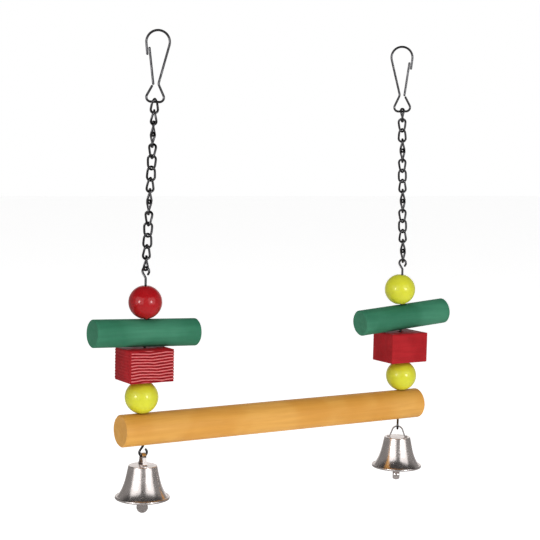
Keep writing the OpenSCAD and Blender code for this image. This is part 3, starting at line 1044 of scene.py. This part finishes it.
@dataclass(frozen=True)
class GroovedBlock:
    """The left block, its front and back sawn across soft and hard grain, in millimetres.

    Attributes:
        node: The node that it stands for.
        ridges: How many ridges the sawn face has.
        depth: Depth of the grooves.
        wander: How far a ridge wanders up and down.
        slow: The wander's long wave along and up the face, and its phase.
        quick: Its short wave along and up the face, and that wave's share.
        uneven: The depth's wave along and up the face, and that wave's share.
        rim: Depth of the edge that the grooves cut into.
        skin: How near the face a point is coloured as part of it.
        worn: How soon the painted highlight on a crest gives way down a groove's side.
        shading: How soon the painted shade starts, from halfway down the groove.
        pooled: How soon the dark stain starts, from halfway down the groove.
        edge: Size of the block's broken edges.
        edge_steps: Flats on such an edge.
        cuts: Fine cuts along the face.
        ridge_cuts: Fine cuts up the face.
        sharp: The angle over which an edge stays crisp.
    """

    node: str
    ridges: int = 11
    depth: float = 0.85
    wander: float = 0.3
    slow: Triple = (0.28, 0.14, 0.9)
    quick: Triple = (0.8, 0.4, 0.22)
    uneven: Triple = (0.7, 2.1, 0.14)
    rim: float = 0.6
    skin: float = 0.05
    worn: float = 2.6
    pooled: float = 2.0
    edge: float = 0.5
    edge_steps: int = 2
    cuts: int = 32
    ridge_cuts: int = 96
    sharp: float = 60.0

    def build(self, shop: Workshop) -> None:
        """Makes the block.

        Args:
            shop: Dresses the pieces.
        """
        low, high = (Vector(corner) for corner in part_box(self.node))
        size = high - low
        mesh = bmesh.new()
        bmesh.ops.create_cube(mesh, size=1.0)
        bmesh.ops.scale(mesh, vec=size, verts=mesh.verts)
        broken = {"offset": self.edge * MM, "segments": self.edge_steps, "profile": 0.5}
        bmesh.ops.bevel(mesh, geom=mesh.edges[:], affect="EDGES", material=-1, **broken)
        for axis, cuts in ((0, self.cuts), (2, self.ridge_cuts)):
            spans = [(e, abs(e.verts[0].co[axis] - e.verts[1].co[axis])) for e in mesh.edges]
            edges = [e for e, length in spans if length > size[axis] / 2]
            bmesh.ops.subdivide_edges(mesh, edges=edges, cuts=cuts, use_grid_fill=True)
        self.saw(mesh, size)
        bmesh.ops.recalc_face_normals(mesh, faces=mesh.faces)
        mesh.transform(Matrix.Translation((low + high) / 2))
        shop.piece(f"sawn_{self.node}", mesh, self.node, Slot.RED, self.sharp)

    def saw(self, mesh: Mesh, size: Vector) -> None:
        """Cuts the grooves, and marks where the painted highlight lies on the crests and the
        painted shade in the furrows.

        Args:
            mesh: The block about the origin, with its fine cuts.
            size: The block's size.
        """
        crest, furrow = (mesh.verts.layers.float.new(name) for name in (CREST, FURROW))
        for vert in mesh.verts:
            inset = size.y / 2 - abs(vert.co.y)
            if inset < self.rim * MM:
                share = self.groove(vert.co, size)
                if inset < self.skin * MM:
                    # Painted highlight on the crests and painted shade in the furrows.
                    vert[crest] = max(0.0, 1 - self.worn * share)
                    vert[furrow] = max(0.0, 1 - self.pooled * (1 - share))
                vert.co.y -= math.copysign(share * self.depth * MM, vert.co.y)

    def groove(self, place: Vector, size: Vector) -> float:
        """How deep the sawn face lies at a point.

        Args:
            place: The point, from the block's middle.
            size: The block's size.

        Returns:
            The share of the full depth, from 0 on a crest to 1 in a furrow.
        """
        along, up = place.x / MM, place.z / MM
        long_wave = math.sin(along * self.slow[0] + up * self.slow[1] + self.slow[2])
        short_wave = math.sin(along * self.quick[0] + up * self.quick[1])
        drift = self.wander * (long_wave + self.quick[2] * short_wave)
        ridge = (up + drift) / (size.z / MM) * self.ridges + 0.5
        depth_wave = math.sin(along * self.uneven[0] + up * self.uneven[1])
        depth = 1 - self.uneven[2] + self.uneven[2] * depth_wave
        return (0.5 - 0.5 * math.cos(ridge * FULL_TURN)) * depth


@dataclass(frozen=True)
class Carried:
    """A node whose own shape is right: its triangles are joined, smoothed and dressed.

    Attributes:
        node: The node's name.
        name: The piece's name.
        slot: Its material slot.
        sharp: The angle over which an edge stays crisp.
    """

    node: str
    name: str
    slot: Slot
    sharp: float = 32.0

    def build(self, shop: Workshop) -> None:
        """Makes the piece.

        Args:
            shop: Dresses the pieces.
        """
        shop.piece(self.name, shop.copy_of(self.node), self.node, self.slot, self.sharp)


@dataclass(frozen=True)
class Softbox:
    """A soft rectangular light that faces the swing.

    Attributes:
        name: The light's name.
        azimuth: Where it stands, in degrees round from -Y towards +X.
        elevation: Its height above the horizon, in degrees.
        distance: Its distance, in metres.
        size: Its width and height, in metres.
        power: Its power, in watts.
        mirrored: Whether the metal and the gloss paint mirror it.
        painted: Whether it lights the wood and the paint.
        target: The point that it faces, in metres.
    """

    name: str
    azimuth: float
    elevation: float
    distance: float
    size: tuple[float, float]
    power: float
    mirrored: bool = True
    painted: bool = True
    target: Triple = (0.0, 0.0, -0.15)

    def build(self) -> None:
        """Makes the light."""
        data = bpy.data.lights.new(self.name, "AREA")
        data.shape, data.energy = "RECTANGLE", self.power
        data.size, data.size_y = self.size
        light = bpy.data.objects.new(self.name, data)
        around, above = math.radians(self.azimuth), math.radians(self.elevation)
        flat = math.cos(above)
        out = Vector((math.sin(around) * flat, -math.cos(around) * flat, math.sin(above)))
        facing = out.to_track_quat("Z", "Y").to_matrix().to_4x4()
        light.matrix_world = Matrix.Translation(Vector(self.target) + out * self.distance) @ facing
        light.visible_glossy, light.visible_diffuse = self.mirrored, self.painted
        bpy.context.scene.collection.objects.link(light)


@dataclass(frozen=True)
class Studio:
    """Camera, lights, pale floor and surroundings.

    Attributes:
        eye: The camera's place, in metres.
        yaw: Its turn from +Y towards +X, in radians.
        pitch: Its tilt above the horizon, in radians.
        roll: Its roll, in radians.
        lens: Its focal length, in millimetres.
        frame_width: Width of its frame, in millimetres.
        clip: The nearest and farthest that it sees, in metres.
        softboxes: The lights: a wide one with a bright core on either side of the camera that
            only the metal and the gloss paint mirror, and two that light the wood and the paint.
        floor_z: Height of the floor, in metres.
        floor_half: Half of its width, in metres.
        away: The way from the camera to the swing.
        fill: Strength of the even light on paint and wood.
        room: How bright the room is that the metal mirrors, at eye level.
        tint: The room's tint.
        ceiling: How bright its ceiling is.
        ground: How bright its ground is.
        backdrop: How bright the card behind the swing is.
    """

    eye: Triple = (-0.4767, -0.7437, -0.0627)
    yaw: float = 0.562
    pitch: float = -0.089
    roll: float = 0.023
    lens: float = 95.2
    frame_width: float = 36.0
    clip: tuple[float, float] = (0.01, 20.0)
    softboxes: tuple[Softbox, ...] = (
        Softbox("softbox_left", -69, 12, 1.5, (1.6, 1.2), 6.6, painted=False),
        Softbox("core_left", -70, 6, 1.45, (0.28, 0.34), 3.6, painted=False),
        Softbox("softbox_right", 16, 12, 1.5, (1.4, 1.2), 6.0, painted=False),
        Softbox("core_right", 10, 6, 1.45, (0.28, 0.34), 3.6, painted=False),
        Softbox("key", -18, 24, 1.5, (1.2, 1.0), 14.0, mirrored=False),
        Softbox("softbox_top", -30, 78, 1.4, (1.0, 1.0), 4.0, mirrored=False),
    )
    floor_z: float = -0.36
    floor_half: float = 6.0
    away: Triple = (0.54, 0.84, 0.0)
    fill: float = 0.3
    room: float = 0.3
    tint: Colour = (1.0, 0.97, 0.95)
    ceiling: float = 0.06
    ground: float = 0.45
    backdrop: float = 0.95

    def set_camera(self) -> None:
        """Puts the camera at the photograph's viewpoint."""
        flat = Vector((math.sin(self.yaw), math.cos(self.yaw), 0)) * math.cos(self.pitch)
        ahead = flat + Vector((0, 0, math.sin(self.pitch)))
        level = Vector((math.cos(self.yaw), -math.sin(self.yaw), 0))
        above = level.cross(ahead)
        right = level * math.cos(self.roll) + above * math.sin(self.roll)
        up = above * math.cos(self.roll) - level * math.sin(self.roll)
        data = bpy.data.cameras.new("viewpoint")
        data.lens, data.sensor_width = self.lens, self.frame_width
        data.clip_start, data.clip_end = self.clip
        camera = bpy.data.objects.new("viewpoint", data)
        turn = Matrix((right, up, -ahead)).transposed()
        camera.matrix_world = Matrix.Translation(self.eye) @ turn.to_4x4()
        bpy.context.scene.collection.objects.link(camera)
        bpy.context.scene.camera = camera

    def mirrored_room(self, bench: Bench) -> Node:
        """The grey room, with a dark ceiling and a pale card behind the swing.

        Args:
            bench: Works on the world's tree.

        Returns:
            Its background node.
        """
        way = bench.add("TexCoord").outputs["Generated"]
        height = bench.add("SeparateXYZ", Vector=way).outputs["Z"]
        strength = bench.ramp(height, 0.3, 0.65, to_low=self.room, to_high=self.ceiling)
        behind = bench.add("VectorMath", {"operation": "DOT_PRODUCT"})
        bench.feed(behind.inputs[0], way)
        bench.feed(behind.inputs[1], self.away)
        cosine = behind.outputs["Value"]
        ground = bench.ramp(height, -0.55, -0.25, to_low=self.ground, to_high=0.0)
        backdrop = bench.ramp(cosine, 0.8, 0.93, to_high=self.backdrop)
        for other in (ground, backdrop):
            strength = bench.math("MAXIMUM", strength, other)
        return bench.add("Background", Color=rgba(self.tint), Strength=strength)

    def set_world(self) -> None:
        """A white surround to see, an even fill for the paint and a grey room for the metal."""
        world = bpy.data.worlds.new("studio_room")
        world.use_nodes = True
        bpy.context.scene.world = world
        world.node_tree.nodes.clear()
        bench = Bench(world.node_tree)
        seen = bench.add("Background", Color=WHITE, Strength=1.0)
        fill = bench.add("Background", Color=WHITE, Strength=self.fill)
        path = bench.add("LightPath")
        shown = fill.outputs[0]
        layers = (("Is Glossy Ray", self.mirrored_room(bench)), ("Is Camera Ray", seen))
        for ray, background in layers:
            blend = bench.add("MixShader", Fac=path.outputs[ray])
            bench.feed(blend.inputs[1], shown)
            bench.feed(blend.inputs[2], background.outputs[0])
            shown = blend.outputs[0]
        bench.add("OutputWorld", Surface=shown)

    def set_floor(self, finishes: Finishes) -> None:
        """Lays the pale floor under the swing.

        Args:
            finishes: Gives the floor's material.
        """
        mesh = bmesh.new()
        place = Matrix.Translation((0, 0, self.floor_z))
        cells = {"x_segments": 4, "y_segments": 4}
        bmesh.ops.create_grid(mesh, size=self.floor_half, matrix=place, **cells)
        data = bpy.data.meshes.new("studio_floor")
        mesh.to_mesh(data)
        mesh.free()
        data.materials.append(finishes.floor())
        floor = bpy.data.objects.new("studio_floor", data)
        floor.visible_glossy = False
        bpy.context.scene.collection.objects.link(floor)

    def build(self, finishes: Finishes) -> None:
        """Sets the whole studio.

        Args:
            finishes: Gives the floor's material.
        """
        bpy.context.scene.view_settings.view_transform = "Standard"
        self.set_camera()
        for softbox in self.softboxes:
            softbox.build()
        self.set_world()
        self.set_floor(finishes)


Part = Chain | Bell | Bead | GroovedBlock | Carried


@dataclass(frozen=True)
class BirdSwing:
    """The whole swing, piece by piece.

    Attributes:
        span: The swing's own lines.
    """

    span: Span = Span()

    def parts(self) -> list[Part]:
        """Every sub-assembly, in the order in which it is built."""
        made: list[Part] = [
            Carried("perch", "perch_bar", Slot.PERCH),
            GroovedBlock("block_left"),
            Carried("block_right", "sawn_block_right", Slot.RED),
            Bead("top_bead_left", Slot.RED_BEAD),
            Bead("top_bead_right", Slot.YELLOW_BEAD),
            Chain(Side.LEFT, start=12.0, step=30.0, early=-8.5, span=self.span),
            Chain(Side.RIGHT, start=-118.0, step=36.0, early=15.0, span=self.span),
        ]
        for side in Side:
            made += [
                Bead(f"lower_bead_{side.word}", Slot.YELLOW_BEAD),
                Carried(f"dowel_{side.word}", f"cross_dowel_{side.word}", Slot.GREEN),
                Carried(f"rod_{side.word}", f"wire_rod_{side.word}", Slot.WIRE),
                Carried(f"hook_{side.word}", f"wire_hook_{side.word}", Slot.WIRE),
                Carried(f"gate_{side.word}", f"wire_gate_{side.word}", Slot.WIRE),
                Bell(side, self.span),
                Carried(f"bell_strap_{side.word}", f"strap_{side.word}", Slot.BELL),
                Carried(f"clapper_loop_{side.word}", f"inner_loop_{side.word}", Slot.WIRE),
                Carried(f"clapper_{side.word}", f"teardrop_clapper_{side.word}", Slot.BELL),
            ]
        return made

    def build(self, shop: Workshop) -> None:
        """Builds every sub-assembly.

        Args:
            shop: Dresses the pieces.
        """
        for part in self.parts():
            part.build(shop)


def main() -> None:
    """Loads the frame, dresses the swing and sets the studio."""
    logging.basicConfig(level=logging.INFO, format="%(name)s: %(message)s")
    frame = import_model()
    finishes = Finishes()
    BirdSwing().build(Workshop(frame, finishes))
    Studio().build(finishes)


if __name__ == "__main__":
    main()
